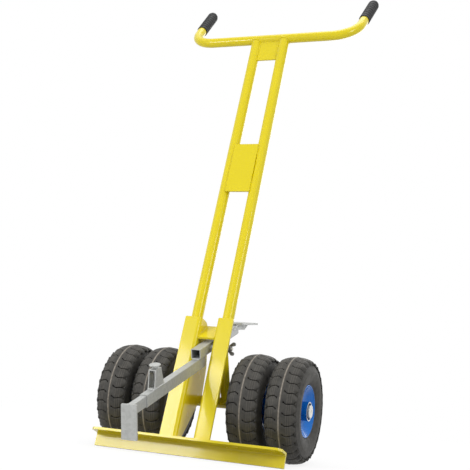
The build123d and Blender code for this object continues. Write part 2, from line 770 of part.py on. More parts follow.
pedal_plane = lever_deck(-PEDAL_BACK, PEDAL_LIFT).rotated((-PEDAL_DIP, 0, 0))
with BuildPart() as pedal_plate:
    with BuildSketch(pedal_plane) as tread:
        Rectangle(PEDAL_W, PEDAL_L, align=(Align.CENTER, Align.MAX))
        fillet(tread.vertices(), PEDAL_CORNER)
    extrude(amount=PEDAL_T)
save(pedal_plate, "pedal_plate")

with BuildPart() as pedal_gussets:
    for side in (-1, 1):
        pedal_flank = Plane(pedal_plane.origin, x_dir=pedal_plane.y_dir, z_dir=(1, 0, 0))
        with BuildSketch(pedal_flank.offset(side * LEVER_W / 2)):
            with BuildLine():
                Polyline(
                    (-PEDAL_L, 0),
                    (-GUSSET_TIP, 0),
                    (-GUSSET_TIP - GUSSET_SLANT, -GUSSET_DEPTH),
                    (-PEDAL_L - GUSSET_SLANT, -GUSSET_DEPTH),
                    close=True,
                )
            make_face()
        extrude(amount=side * GUSSET_T)
save(pedal_gussets, "pedal_gussets")

# Sliding hook, clamp screw and its disc

hook_face = lever_section(HOOK_REACH, ARM_TOP).rotated((-HOOK_PLATE_TILT, 0, 0))
with BuildPart() as hook_bar:
    with BuildSketch(lever_section(HOOK_REACH - HOOK_L, ARM_MID)):
        RectangleRounded(HOOK_W, HOOK_H, TUBE_CORNER)
        Rectangle(HOOK_W - 2 * HOOK_T, HOOK_H - 2 * HOOK_T, mode=Mode.SUBTRACT)
    extrude(amount=HOOK_L + ARM_H)
    split(bisect_by=hook_face, keep=Keep.BOTTOM)
save(hook_bar, "hook_bar")

with BuildPart() as hook_plate:
    with BuildSketch(hook_face) as plate:
        Rectangle(HOOK_PLATE_W, HOOK_PLATE_H, align=(Align.CENTER, Align.MAX))
        fillet(plate.vertices(), HOOK_PLATE_CORNER)
    extrude(amount=HOOK_PLATE_T)
save(hook_plate, "hook_plate")

with BuildPart() as clamp_screw:
    with BuildSketch(lever_deck(CLAMP_PLACE, SCREW_TIP)):
        Circle(SCREW_R)
    extrude(amount=CLAMP_TOP + SLIP - SCREW_TIP)
    with BuildSketch(lever_deck(CLAMP_PLACE, CLAMP_TOP + SLIP)):
        Circle(SCREW_NECK_R)
    extrude(amount=SCREW_NECK_L)
save(clamp_screw, "clamp_screw")

with BuildPart() as clamp_knob:
    with BuildSketch(lever_deck(CLAMP_PLACE, CLAMP_TOP + SLIP + SCREW_NECK_L)):
        Circle(KNOB_R)
    extrude(amount=KNOB_T)
    chamfer(clamp_knob.edges(), KNOB_BEVEL)
save(clamp_knob, "clamp_knob")
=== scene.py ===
import json

import bmesh
import bpy
import numpy as np
from mathutils import Matrix


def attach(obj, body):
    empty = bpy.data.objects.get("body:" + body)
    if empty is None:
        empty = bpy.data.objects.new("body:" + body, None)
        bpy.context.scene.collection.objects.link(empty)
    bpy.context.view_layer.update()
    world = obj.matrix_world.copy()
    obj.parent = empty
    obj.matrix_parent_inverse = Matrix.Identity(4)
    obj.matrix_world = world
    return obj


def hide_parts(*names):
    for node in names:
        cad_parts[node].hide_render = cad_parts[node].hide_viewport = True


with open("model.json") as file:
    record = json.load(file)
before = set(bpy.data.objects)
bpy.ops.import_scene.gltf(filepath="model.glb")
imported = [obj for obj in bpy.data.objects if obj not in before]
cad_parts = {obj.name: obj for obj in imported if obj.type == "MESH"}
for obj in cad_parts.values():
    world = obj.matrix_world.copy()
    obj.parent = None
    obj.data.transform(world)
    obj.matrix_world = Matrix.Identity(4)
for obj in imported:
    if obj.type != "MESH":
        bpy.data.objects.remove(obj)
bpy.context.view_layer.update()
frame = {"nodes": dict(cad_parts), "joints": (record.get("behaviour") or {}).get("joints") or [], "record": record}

# The cart's frame. Metres and radians throughout.
LEAN = np.radians(17.3)  # uprights, back from the vertical
LEVER_SLOPE = np.radians(18.0)
X, Y, Z = np.eye(3)
UP = np.cos(LEAN) * Z + np.sin(LEAN) * Y  # along the uprights
BACK = np.cos(LEAN) * Y - np.sin(LEAN) * Z  # square to them
FORWARD = -np.cos(LEVER_SLOPE) * Y - np.sin(LEVER_SLOPE) * Z  # along the foot lever
LIFT = np.cos(LEVER_SLOPE) * Z - np.sin(LEVER_SLOPE) * Y  # square to it
BOTH_WAYS = np.array((-1, 1))

JOINT_PLACES = {joint["child"]: np.array(joint.get("pos_m", (0, 0, 0))) for joint in frame["joints"]}
WHEELS = ("inner_right", "inner_left", "outer_right", "outer_left")
AXLE = JOINT_PLACES["wheel_inner_right"] * (0, 1, 1)
PIVOT = JOINT_PLACES["lever"]

# Sizes of the solids that the added pieces replace or lie on
TYRE_R = 0.130
TREAD_HALF = 0.033
TREAD_DROP = 0.007  # crown to shoulder
BELLY_R, BELLY_HALF = 0.096, 0.0415  # widest line, 1 mm inside the solid's to show the notches
LUG_FOOT_HALF, LUG_FOOT_R = 0.0395, 0.115  # lower edge of a block's side, 1.5 mm outside the solid's
RIM_R, BEAD_HALF = 0.0625, 0.0298
BEAD_R, BEAD_HEEL, BEAD_W = 0.051, 0.0194, 0.010
SIDEWALL_T = 0.005
TUBE_X, TUBE_R = 0.0431, 0.015
BAR_RISE, BAR_R, BAR_HALF = 1.090, 0.014, 0.258
BAR_NOTCH = 0.006  # tube ends below the handlebar's axis
GRIP_SLOPE, GRIP_SPLAY = np.radians(45.0), np.radians(2.6)
GRIP_START, GRIP_L, GRIP_R = 0.100, 0.128, 0.01555
TOP_PLATE_H, TOP_PLATE_FRONT, TOP_PLATE_REAR = 0.066, -0.006, -0.002
MID_PLATE_FOOT, MID_PLATE_TOP, MID_PLATE_HALF = 0.557, 0.709, 0.035
WEB_IN, WEB_OUT, FLANGE_OUT, FLANGE_FRONT = 0.0221, 0.0281, 0.0657, -0.021
UPRIGHT_TOP, TOE_TOP = 0.186, -0.1245
PIVOT_RISE, SETBACK = 0.113, 0.096
AXLE_TUBE_R, STRUT_R, STRUT_RISE = 0.01345, 0.0125, 0.120
LEVER_NOSE = 0.067
ARM_HALF, ARM_BACK, ARM_TOP, ARM_MID = 0.009, 0.030, -0.0125, -0.0265
CLAMP_PLACE, CLAMP_FOOT = 0.287, 0.0225
HOOK_REACH, HOOK_BAR_HALF, HOOK_BAR_TALL = 0.410, 0.0075, 0.0125
HOOK_TILT = np.radians(4.5)  # hook plate's foot, forward from square to the bar

MERGE = 1e-6  # points closer than this are one


def leaning(x, back, rise):
    """Place on the leaning frame: across, behind the tubes' axes, and above the axle along the tubes."""
    x, back, rise = np.broadcast_arrays(x, back, rise)
    return PIVOT + x[..., None] * X + back[..., None] * BACK + (rise[..., None] - PIVOT_RISE) * UP


def on_lever(x, forward, lift):
    """Place on the foot lever: across, in front of the pivot, and above the lever's axis."""
    x, forward, lift = np.broadcast_arrays(x, forward, lift)
    return PIVOT + x[..., None] * X + forward[..., None] * FORWARD + lift[..., None] * LIFT


def bump(value, centre, width):
    """Smooth hill of height one: exp(-((value - centre) / width)^2)."""
    return np.exp(-(((value - centre) / width) ** 2))


def ease(value, start, end):
    """Smooth step from zero at start to one at end: t^2 (3 - 2 t)."""
    t = np.clip((value - start) / (end - start), 0, 1)
    return t * t * (3 - 2 * t)


def unit(vectors):
    """Vectors scaled to length one along their last axis."""
    return vectors / np.linalg.norm(vectors, axis=-1, keepdims=True)


def piece(name, body, material, patches, marks=None):
    """Mesh from grids of points (rows, columns, 3): a quad between each four neighbours, and the last
    column joined to the first. Rows that shrink to a point close the ends. marks are values kept per
    point."""
    points, quads, start = [], [], 0
    for patch in patches:
        rows, columns = patch.shape[:2]
        index = start + np.arange(rows * columns).reshape(rows, columns)
        index = np.hstack([index, index[:, :1]])
        corners = (index[:-1, :-1], index[:-1, 1:], index[1:, 1:], index[1:, :-1])
        quads.append(np.stack(corners, axis=-1).reshape(-1, 4))
        points.append(patch.reshape(-1, 3))
        start += rows * columns
    mesh = bpy.data.meshes.new(name)
    mesh.from_pydata(np.concatenate(points).tolist(), [], np.concatenate(quads).tolist())
    for mark, values in (marks or {}).items():
        mesh.attributes.new(mark, "FLOAT", "POINT").data.foreach_set("value", values.ravel())
    shell = bmesh.new()
    shell.from_mesh(mesh)
    bmesh.ops.remove_doubles(shell, verts=shell.verts, dist=MERGE)
    bmesh.ops.recalc_face_normals(shell, faces=shell.faces)
    shell.to_mesh(mesh)
    shell.free()
    mesh.polygons.foreach_set("use_smooth", np.ones(len(mesh.polygons), bool))
    made = bpy.data.objects.new(name, mesh)
    bpy.context.scene.collection.objects.link(made)
    mesh.materials.append(material)
    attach(made, body)
    return made


# Finishes

EDGE_SAMPLES, EDGE_GAIN = 6, 6.0
PAINT_WEAR, ZINC_WEAR = 0.5, 0.35  # how far the finish is rubbed off along an edge
CRYSTAL_SHARE = 0.35  # zinc crystals' share in its tone; a dull bloom has the rest
BARE_ZINC = (0.78, 0.77, 0.74)
# near black for the shade painted into the tyre's grooves and under its blocks
PAINTED_SHADE_BLACK = (0.006, 0.006, 0.006)
SEAL_UNIT = 0.025  # radius from the axle that is one on the bearing seal's ramp
FLASH_DARK, FLASH_PALE = (0.19, 0.165, 0.135), (0.33, 0.295, 0.25)


def add(tree, kind, sockets=None, **settings):
    """New node with its settings, and its inputs either set to a value or linked to another's output."""
    made = tree.nodes.new(kind)
    for key, value in settings.items():
        setattr(made, key, value)
    for key, value in (sockets or {}).items():
        if isinstance(value, bpy.types.NodeSocket):
            tree.links.new(value, made.inputs[key])
        else:
            made.inputs[key].default_value = value
    return made


def finish(name, **values):
    """New material: its node tree, its shader with plain values set, and the object's own coordinates."""
    material = bpy.data.materials.new(name)
    material.use_nodes = True
    tree = material.node_tree
    shader = tree.nodes["Principled BSDF"]
    for socket, value in values.items():
        shader.inputs[socket.replace("_", " ")].default_value = value
    place = add(tree, "ShaderNodeTexCoord").outputs["Object"]
    return material, tree, shader, place


def feed(tree, shader, **outputs):
    """Link nodes' outputs to the shader's inputs of those names."""
    for socket, output in outputs.items():
        tree.links.new(output, shader.inputs[socket.replace("_", " ")])


def noise(tree, place, waves, detail, roughness=0.5):
    """Cloudy pattern from 0 to 1 of that many waves to the metre."""
    sockets = {"Vector": place, "Scale": waves, "Detail": detail, "Roughness": roughness}
    return add(tree, "ShaderNodeTexNoise", sockets).outputs["Fac"]


def ramp(tree, factor, *stops):
    """Colours blended along a factor; a stop is its place and a grey level or a colour."""
    made = add(tree, "ShaderNodeValToRGB", {"Fac": factor})
    elements = made.color_ramp.elements
    while len(elements) < len(stops):
        elements.new(0.5)
    for element, (spot, colour) in zip(elements, stops):
        element.position = spot
        element.color = (*((colour,) * 3 if np.isscalar(colour) else colour), 1.0)
    return made.outputs["Color"]


def mottle(tree, place, low, high, waves, detail, span=(0.3, 0.7)):
    """Two colours or grey levels in cloudy patches, blended where the noise lies within span."""
    return ramp(tree, noise(tree, place, waves, detail), (span[0], low), (span[1], high))


def blend(tree, factor, under, over):
    """Two colours mixed by a factor."""
    made = add(tree, "ShaderNodeMix", data_type="RGBA")
    for socket, value in ((made.inputs[0], factor), (made.inputs[6], under), (made.inputs[7], over)):
        if isinstance(value, bpy.types.NodeSocket):
            tree.links.new(value, socket)
        else:
            socket.default_value = value if np.isscalar(value) else (*value, 1.0)
    return made.outputs[2]


def maths(tree, operation, left, right=0.0, clamp=False):
    """One sum on two numbers."""
    sockets = {0: left, 1: right}
    return add(tree, "ShaderNodeMath", sockets, operation=operation, use_clamp=clamp).outputs[0]


def soft_edges(tree, radius):
    """Normals rounded over sharp edges, and a mask that is bright along those edges."""
    rounded = add(tree, "ShaderNodeBevel", {"Radius": radius}, samples=EDGE_SAMPLES).outputs["Normal"]
    flat = add(tree, "ShaderNodeNewGeometry").outputs["Normal"]
    pair = {0: rounded, 1: flat}
    aligned = add(tree, "ShaderNodeVectorMath", pair, operation="DOT_PRODUCT").outputs["Value"]
    edge = maths(tree, "MULTIPLY", maths(tree, "SUBTRACT", 1.0, aligned), EDGE_GAIN, clamp=True)
    return rounded, edge


def relief(tree, shader, place, waves, detail, depth, normal=None):
    """Fine cloudy relief of that depth in metres under the shader."""
    sockets = {"Height": noise(tree, place, waves, detail), "Distance": depth, "Strength": 1.0}
    if normal is not None:
        sockets["Normal"] = normal
    feed(tree, shader, Normal=add(tree, "ShaderNodeBump", sockets).outputs["Normal"])


def enamel(name, colour, shade, worn, roughness, edge_radius, shine):
    """Paint: slow drift between a colour and its shade, orange-peel relief, thin wear along the edges."""
    material, tree, shader, place = finish(
        name, Coat_Weight=0.4, Coat_Roughness=0.08, Coat_IOR=1.5, Specular_IOR_Level=shine
    )
    drift = mottle(tree, place, shade, colour, waves=9.0, detail=4.0)
    rounded, edge = soft_edges(tree, edge_radius)
    ragged = mottle(tree, place, 0.0, 1.0, waves=260.0, detail=4.0, span=(0.5, 0.72))
    rubbed = maths(tree, "MULTIPLY", edge, ragged, clamp=True)
    dull = roughness + 0.10
    feed(
        tree,
        shader,
        Base_Color=blend(tree, maths(tree, "MULTIPLY", rubbed, PAINT_WEAR), drift, worn),
        Roughness=mottle(tree, place, roughness, dull, waves=40.0, detail=5.0, span=(0.3, 0.75)),
    )
    relief(tree, shader, place, waves=420.0, detail=1.0, depth=0.00006, normal=rounded)
    return material


def zinc(name, bright, dull, roughness, spangle, edge_radius):
    """Zinc-coated steel: crystal patches of slightly different grey, a dull bloom, fine drawing marks."""
    material, tree, shader, place = finish(name, Metallic=0.55)
    cells = add(tree, "ShaderNodeTexVoronoi", {"Vector": place, "Scale": spangle}).outputs["Color"]
    tone = add(tree, "ShaderNodeSeparateColor", {"Color": cells}).outputs["Red"]
    bloom = noise(tree, place, waves=35.0, detail=6.0, roughness=0.6)
    crystals = maths(tree, "MULTIPLY", tone, CRYSTAL_SHARE)
    mixed = maths(tree, "ADD", crystals, maths(tree, "MULTIPLY", bloom, 1 - CRYSTAL_SHARE))
    rounded, edge = soft_edges(tree, edge_radius)
    colour = ramp(tree, mixed, (0.25, dull), (0.75, bright))
    feed(
        tree,
        shader,
        Base_Color=blend(tree, maths(tree, "MULTIPLY", edge, ZINC_WEAR), colour, BARE_ZINC),
        Roughness=ramp(tree, mixed, (0.2, roughness + 0.12), (0.8, roughness)),
    )
    relief(tree, shader, place, waves=700.0, detail=3.0, depth=0.00004, normal=rounded)
    return material


def moulded_rubber(name, dark, pale, roughness, grain):
    """Rubber: dull dark tone with a dusty drift and fine grain, painted shade in near black where the
    groove mark says, and paler moulding flash where the seam mark says."""
    material, tree, shader, place = finish(name, Specular_IOR_Level=0.35)
    dust = ramp(tree, noise(tree, place, 55.0, 6.0, roughness=0.65), (0.35, dark), (0.75, pale))
    groove = add(tree, "ShaderNodeAttribute", attribute_name="groove").outputs["Fac"]
    seam = add(tree, "ShaderNodeAttribute", attribute_name="seam").outputs["Fac"]
    # painted shade: the grooves and the band under the blocks blended towards near black, where shade falls
    sunk = blend(tree, groove, dust, PAINTED_SHADE_BLACK)
    flash = mottle(tree, place, FLASH_DARK, FLASH_PALE, waves=120.0, detail=3.0)
    feed(
        tree,
        shader,
        Base_Color=blend(tree, seam, sunk, flash),
        Roughness=mottle(tree, place, roughness, roughness + 0.12, waves=80.0, detail=4.0),
    )
    relief(tree, shader, place, waves=grain, detail=3.0, depth=0.00012)
    return material


def sealed_steel(name):
    """Bearing face: bright steel races with a dark rubber seal between them, by distance from the axle."""
    material, tree, shader, place = finish(name)
    spot = add(tree, "ShaderNodeSeparateXYZ", {"Vector": place})
    along = maths(tree, "SUBTRACT", spot.outputs["Y"], float(AXLE[1]))
    above = maths(tree, "SUBTRACT", spot.outputs["Z"], float(AXLE[2]))
    squares = [maths(tree, "MULTIPLY", part, part) for part in (along, above)]
    away = maths(tree, "SQRT", maths(tree, "ADD", *squares))
    share_out = maths(tree, "MULTIPLY", away, 1 / SEAL_UNIT)
    seal = ramp(tree, share_out, (0.50, 0.0), (0.52, 1.0), (0.805, 1.0), (0.825, 0.0))
    steel = mottle(tree, place, (0.42, 0.41, 0.39), (0.62, 0.61, 0.58), waves=90.0, detail=3.0)
    rubber = mottle(tree, place, 0.008, 0.02, waves=300.0, detail=3.0)
    feed(
        tree,
        shader,
        Base_Color=blend(tree, seal, steel, rubber),
        Metallic=ramp(tree, seal, (0.0, 0.9), (1.0, 0.0)),
        Roughness=ramp(tree, seal, (0.0, 0.28), (1.0, 0.6)),
    )
    relief(tree, shader, place, waves=600.0, detail=2.0, depth=0.00003)
    return material


def painted_barrel(name):
    """Hub: blue paint round the barrel, and bare steel on the machined ends, told apart by the normal's
    share along x."""
    material, tree, shader, place = finish(name, Coat_Weight=0.3, Coat_Roughness=0.12)
    normal = add(tree, "ShaderNodeTexCoord").outputs["Normal"]
    across = add(tree, "ShaderNodeSeparateXYZ", {"Vector": normal}).outputs["X"]
    bare = ramp(tree, maths(tree, "ABSOLUTE", across), (0.55, 0.0), (0.75, 1.0))
    paint = mottle(tree, place, (0.002, 0.110, 0.38), (0.002, 0.135, 0.44), waves=30.0, detail=4.0)
    steel = mottle(tree, place, (0.58, 0.57, 0.54), (0.76, 0.75, 0.72), waves=180.0, detail=4.0)
    feed(
        tree,
        shader,
        Base_Color=blend(tree, bare, paint, steel),
        Metallic=ramp(tree, bare, (0.0, 0.0), (1.0, 0.7)),
        Roughness=mottle(tree, place, 0.20, 0.32, waves=60.0, detail=4.0),
    )
    relief(tree, shader, place, waves=500.0, detail=2.0, depth=0.00004)
    return material


YELLOW = enamel(
    "yellow_powder_coat",
    colour=(0.715, 0.590, 0.006),
    shade=(0.690, 0.562, 0.005),
    worn=(0.78, 0.69, 0.20),
    roughness=0.20,
    edge_radius=0.0012,
    shine=0.15,
)
BLUE = enamel(
    "blue_rim_enamel",
    colour=(0.001, 0.165, 0.59),
    shade=(0.001, 0.142, 0.52),
    worn=(0.03, 0.20, 0.54),
    roughness=0.18,
    edge_radius=0.0008,
    shine=0.10,
)
GALVANISED = zinc(
    "galvanised_steel",
    bright=(0.49, 0.50, 0.485),
    dull=(0.40, 0.405, 0.39),
    roughness=0.42,
    spangle=160.0,
    edge_radius=0.0006,
)
BRIGHT_ZINC = zinc(
    "bright_zinc_plate",
    bright=(0.78, 0.77, 0.72),
    dull=(0.62, 0.61, 0.56),
    roughness=0.26,
    spangle=420.0,
    edge_radius=0.0004,
)
DARK_STEEL = zinc(
    "dark_phosphate_steel",
    bright=(0.20, 0.20, 0.195),
    dull=(0.10, 0.10, 0.098),
    roughness=0.40,
    spangle=300.0,
    edge_radius=0.0005,
)
TYRE_RUBBER = moulded_rubber(
    "tyre_rubber", dark=(0.030, 0.0285, 0.025), pale=(0.066, 0.062, 0.054), roughness=0.58, grain=900.0
)
GRIP_RUBBER = moulded_rubber(
    "grip_rubber", dark=(0.008, 0.008, 0.0083), pale=(0.020, 0.020, 0.0205), roughness=0.52, grain=1500.0
)
BEARING = sealed_steel("sealed_bearing_steel")
HUB = painted_barrel("painted_hub_barrel")

SLOT_FINISH = {
    "yellow_paint": YELLOW,
    "rim_paint": BLUE,
    "galvanised": GALVANISED,
    "zinc_steel": BRIGHT_ZINC,
    "dark_nut": DARK_STEEL,
    "tyre_rubber": TYRE_RUBBER,
    "grip_rubber": GRIP_RUBBER,
    "valve_rubber": GRIP_RUBBER,
}
KIND_FINISH = {"bearings": BEARING, "hub": HUB}  # by the first word of a node's name
for subpart in frame["record"]["subparts"]:
    node = frame["nodes"][subpart["node"]]
    kind = subpart["node"].split("_")[0]
    node.data.materials.clear()
    node.data.materials.append(KIND_FINISH.get(kind, SLOT_FINISH[subpart["material_slot"]]))


# Tyres

LUGS = 31  # tread blocks round each side
PITCH = 2 * np.pi * TYRE_R / LUGS
TREAD_ROWS = ((0, 0.004, 7), (0.0055, 0.012, 9), (0.0135, TREAD_HALF, 22))  # from, to, rows of points
BLOCK_ROWS, SIDEWALL_ROWS = 11, 9
EDGE_SLACK = 0.0005  # what a comparison of depths or radii leaves aside
CARCASS_IN, CARCASS_DROP = 0.0008, 0.0005  # carcass under the shoulder: inward, and below a groove's floor
LINING = (  # half of the inside, widest line to crown
    (BELLY_HALF - SIDEWALL_T, BELLY_R),
    (TREAD_HALF - SIDEWALL_T, TYRE_R - 0.016),
    (0.012, TYRE_R - 0.010),
)
GROOVE_W = 0.0012  # nominal half width of a groove
GROOVE_THIN, GROOVE_SWELL = 0.8, 0.9  # its real half width, and what its head adds, in shares of that
GROOVE_HEAD, GROOVE_HEAD_W = 0.0080, 0.0022  # place and size of the head
GROOVE_DEPTH = 0.005
GROOVE_INNER, GROOVE_TURN = 0.007, 0.0165  # where a groove starts and bends, from the seam
GROOVE_RUN_IN = 0.0012  # length over which it reaches its depth
GROOVE_SWAY, SWAY_END = 0.0024, 0.036
GROOVE_FLOOR = 0.8  # half width of its floor, in shares of the nominal
GRID_UNIT = GROOVE_W / 1.1
COLUMNS = np.array((0.0, 0.5, 0.8, 1.1, 1.4, 1.9, 2.8, 4.2, 5.6, 7.6)) * GRID_UNIT  # from its line
WALL = COLUMNS[4]  # upper edge of its wall
NOTCH_START, NOTCH_END = 0.027, LUG_FOOT_HALF - 0.002  # round notch where a groove leaves the tread
NOTCH_DEPTH, NOTCH_W = 0.0052, 0.0056
BLOCK_WEAR, BLOCK_WEAR_W = 0.0005, 0.0009  # rounded edges of the blocks
BLOCK_TOP = 1.4  # where the ribs reach full height, in shares of WALL
TREAD_RIBS = (0.0175, 0.0225, 0.0275)  # fine ribs round the tread, from the seam
TREAD_RIB_H, TREAD_RIB_W = 0.00045, 0.0008
SEAM_H, SEAM_W, SEAM_STAIN_W = 0.0007, 0.0014, 0.0016
RINGS = np.array((0.0060, 0.0190, 0.0475))  # ring lines, down the sidewall from the tread's ledge
RING_H, RING_W = 0.0006, 0.0011
LEDGE_SHADE, LEDGE_SHADE_W = 0.75, 0.0035  # painted shade, a dark band on the sidewall under the blocks
NOTCH_LIGHT = 0.6  # how much of the groove's painted shade a notch gives up
RIB_DUST = 0.15


def arc_between(start, heading, end, count):
    """Points of the circle that leaves start along heading and reaches end: its centre lies on the
    heading's right."""
    heading, chord = unit(np.asarray(heading)), end - start
    inward = np.array((heading[1], -heading[0]))
    radius = chord @ chord / (2 * chord @ inward)
    middle = start + inward * radius
    first, last = (np.arctan2(*(spot - middle)[::-1]) for spot in (start, end))
    turn = np.linspace(first, last, count)
    return middle + radius * np.column_stack([np.cos(turn), np.sin(turn)])


def tyre_outline():
    """Half of the tyre's outline, crown to bead: tread arc r = R - (Rt - sqrt(Rt^2 - x^2)), the blocks'
    rounded side, a ledge, then the sidewall's circle through the carcass's shoulder, widest line and
    bead, with its ring lines. Also how deep a groove is at each point."""
    tread_round = (TREAD_HALF**2 + TREAD_DROP**2) / (2 * TREAD_DROP)
    across = np.concatenate([np.linspace(*rows) for rows in TREAD_ROWS])
    tread = np.column_stack([across, TYRE_R - tread_round + np.sqrt(tread_round**2 - across**2)])
    shoulder = np.array((TREAD_HALF, TYRE_R - TREAD_DROP))
    foot = np.array((LUG_FOOT_HALF, LUG_FOOT_R))
    heading = (tread_round - TREAD_DROP, -TREAD_HALF)
    block_side = arc_between(shoulder, heading, foot, BLOCK_ROWS)[1:]

    carcass = shoulder - (CARCASS_IN, GROOVE_DEPTH + CARCASS_DROP)
    belly = np.array((BELLY_HALF, BELLY_R))
    bead_top = np.array((BEAD_HALF, RIM_R))
    sides = np.stack([belly - carcass, bead_top - carcass])
    middle = carcass + np.linalg.solve(2 * sides, (sides**2).sum(axis=1))
    radius = np.linalg.norm(carcass - middle)
    start = np.arcsin((LUG_FOOT_R - middle[1]) / radius)
    end = np.arctan2(*(bead_top - middle)[::-1])
    evenly = np.linspace(0, (start - end) * radius, SIDEWALL_ROWS)
    near_rings = np.add.outer(RINGS, RING_W * np.arange(-2, 3)).ravel()
    drop = np.sort(np.concatenate([evenly, near_rings]))  # down the sidewall
    turn = start - drop / radius
    swell = radius + RING_H * bump(drop[:, None], RINGS, RING_W).sum(axis=1)
    sidewall = middle + swell[:, None] * np.column_stack([np.cos(turn), np.sin(turn)])

    fall = np.linspace(0, 1, len(block_side))
    depth = (
        GROOVE_DEPTH * ease(across, GROOVE_INNER, GROOVE_INNER + GROOVE_RUN_IN),
        GROOVE_DEPTH + (NOTCH_DEPTH - GROOVE_DEPTH) * fall,
        np.zeros(len(sidewall)),
    )
    return np.concatenate([tread, block_side, sidewall]), np.concatenate(depth)


def tyre_section():
    """The tyre's section as x and radius: the outline from bead to bead, then back along the lining. Also
    how deep a groove is at each point, and which points are on the outside."""
    half, half_depth = tyre_outline()
    outline = np.concatenate([half[:0:-1] * (-1, 1), half])
    foot = ((BEAD_HEEL, BEAD_R), (BEAD_HEEL - BEAD_W, BEAD_R), (BEAD_HALF - BEAD_W, RIM_R))
    lining = np.array(foot + LINING)
    section = np.concatenate([outline, lining, lining[::-1] * (-1, 1)])
    outer = np.arange(len(section)) < len(outline)
    cut = np.zeros(len(section))
    cut[outer] = np.concatenate([half_depth[:0:-1], half_depth])
    return section, cut, outer


def block_columns(width):
    """Grid lines across one block: their nominal distance from the groove's line, and their offset from it
    for each width. Lines up to the wall keep to the groove, and the others share the rest of the pitch."""
    offsets = np.concatenate([-COLUMNS[:0:-1], COLUMNS, [PITCH / 2]])
    beside = np.abs(offsets)
    scale = (width / GROOVE_W)[:, None]
    wall = WALL * scale
    stretch = (PITCH / 2 - wall) / (PITCH / 2 - WALL)
    far = np.sign(offsets) * (wall + (beside - WALL) * stretch)
    return beside, np.where(beside <= WALL, offsets * scale, far)


def closed(rows):
    """Rows with the first repeated at the end."""
    return np.concatenate([rows, rows[:1]])


def treaded_shape():
    """Treaded tyre round the origin: the section swept round the axle, with values for its finish and
    for the shade painted into its grooves and under its blocks. Each side has grooves that sway along
    their length, set half a block apart; a point sinks by depth g(o), where o is its distance from the
    groove's line. Grid lines follow the grooves, so their walls stay crisp. On the blocks' sides each
    groove ends in a round notch, a hill n(o) of depth that grows towards the ledge. The lining closes the
    section."""
    section, cut, outer = tyre_section()
    across, radius = section.T
    reach = np.abs(across)
    slope = unit(np.gradient(section, axis=0))
    inward = np.column_stack([slope[:, 1], -slope[:, 0]])
    on_tread = outer & (radius > LUG_FOOT_R - EDGE_SLACK)
    flare = ease(reach, NOTCH_START, NOTCH_END) * on_tread

    width = GROOVE_W * (GROOVE_THIN + GROOVE_SWELL * bump(reach, GROOVE_HEAD, GROOVE_HEAD_W))
    beside, spread = block_columns(width)
    bend = np.clip((reach - GROOVE_INNER) / (GROOVE_TURN - GROOVE_INNER), 0, 1)
    sway = GROOVE_SWAY * (np.cos(np.pi * bend) + ease(reach, GROOVE_TURN, SWAY_END))
    side = np.clip(across / GROOVE_INNER, -1, 1)
    shift = side * (PITCH / 4 + sway) - PITCH / 4

    sunk = 1 - ease(beside, GROOVE_FLOOR * GROOVE_W, WALL)
    worn = BLOCK_WEAR * bump(beside, WALL, BLOCK_WEAR_W)
    block_top = ease(beside, 0.0, WALL * BLOCK_TOP)
    ribs = sum(bump(reach, place, TREAD_RIB_W) for place in TREAD_RIBS)
    seam_ridge = np.where(outer, SEAM_H * bump(across, 0, SEAM_W), 0)
    proud = seam_ridge[:, None] + (TREAD_RIB_H * ribs * on_tread)[:, None] * block_top
    notch = NOTCH_DEPTH * flare[:, None] * bump(spread, 0, NOTCH_W)
    lowered = np.maximum(cut[:, None] * sunk, notch) - proud
    lowered = lowered + ((cut > 0) * (1 - flare))[:, None] * worn

    shape = section[:, None, :] + inward[:, None, :] * lowered[..., None]
    block = np.arange(LUGS)[None, :, None]
    angle = 2 * np.pi * block / LUGS + ((spread + shift[:, None]) / TYRE_R)[:, None, :]
    angle = angle.reshape(len(section), -1)
    x, r = (np.tile(shape[..., part], (1, LUGS)) for part in (0, 1))
    grid = np.stack([x, r * np.sin(angle), r * np.cos(angle)], axis=-1)

    # painted shade: a dark band on the sidewall just under the blocks, where their ledge shades it
    ledge = LEDGE_SHADE * (outer & ~on_tread) * bump(radius, LUG_FOOT_R, LEDGE_SHADE_W)
    # painted shade: grooves darkened, less so towards their notches
    shade = (cut > EDGE_SLACK) * (1 - NOTCH_LIGHT * flare)
    groove = np.maximum(shade[:, None] * sunk, ledge[:, None])
    dusty = RIB_DUST * (ribs / ribs.max() * on_tread)[:, None] * block_top
    seam = np.where(outer, bump(across, 0, SEAM_STAIN_W), 0)[:, None] + dusty
    # groove mark: painted shade; seam mark: moulding flash and dust on the ribs
    marks = {"groove": np.tile(groove, (1, LUGS)), "seam": np.tile(seam, (1, LUGS))}
    return closed(grid), {name: closed(values) for name, values in marks.items()}


tyre_grid, tyre_marks = treaded_shape()
for wheel in WHEELS:
    body = f"wheel_{wheel}"
    made = piece(f"treaded_tyre_{wheel}", body, TYRE_RUBBER, [tyre_grid + JOINT_PLACES[body]], tyre_marks)
    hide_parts(f"tyre_{wheel}")


# Grips

RIBS = 9
RIB_H = 0.0012
RIB_RISE, RIB_FALL = (0.14, 0.30), (0.70, 0.86)  # a rib's flanks, in shares of the ribs' spacing
TIP_ROUND = 0.006
MOUTH_DEPTH, MOUTH_ROUND = 0.004, 0.0008
BAR_GAP = 0.0001
GRIP_ROWS, GRIP_COLUMNS = 240, 56


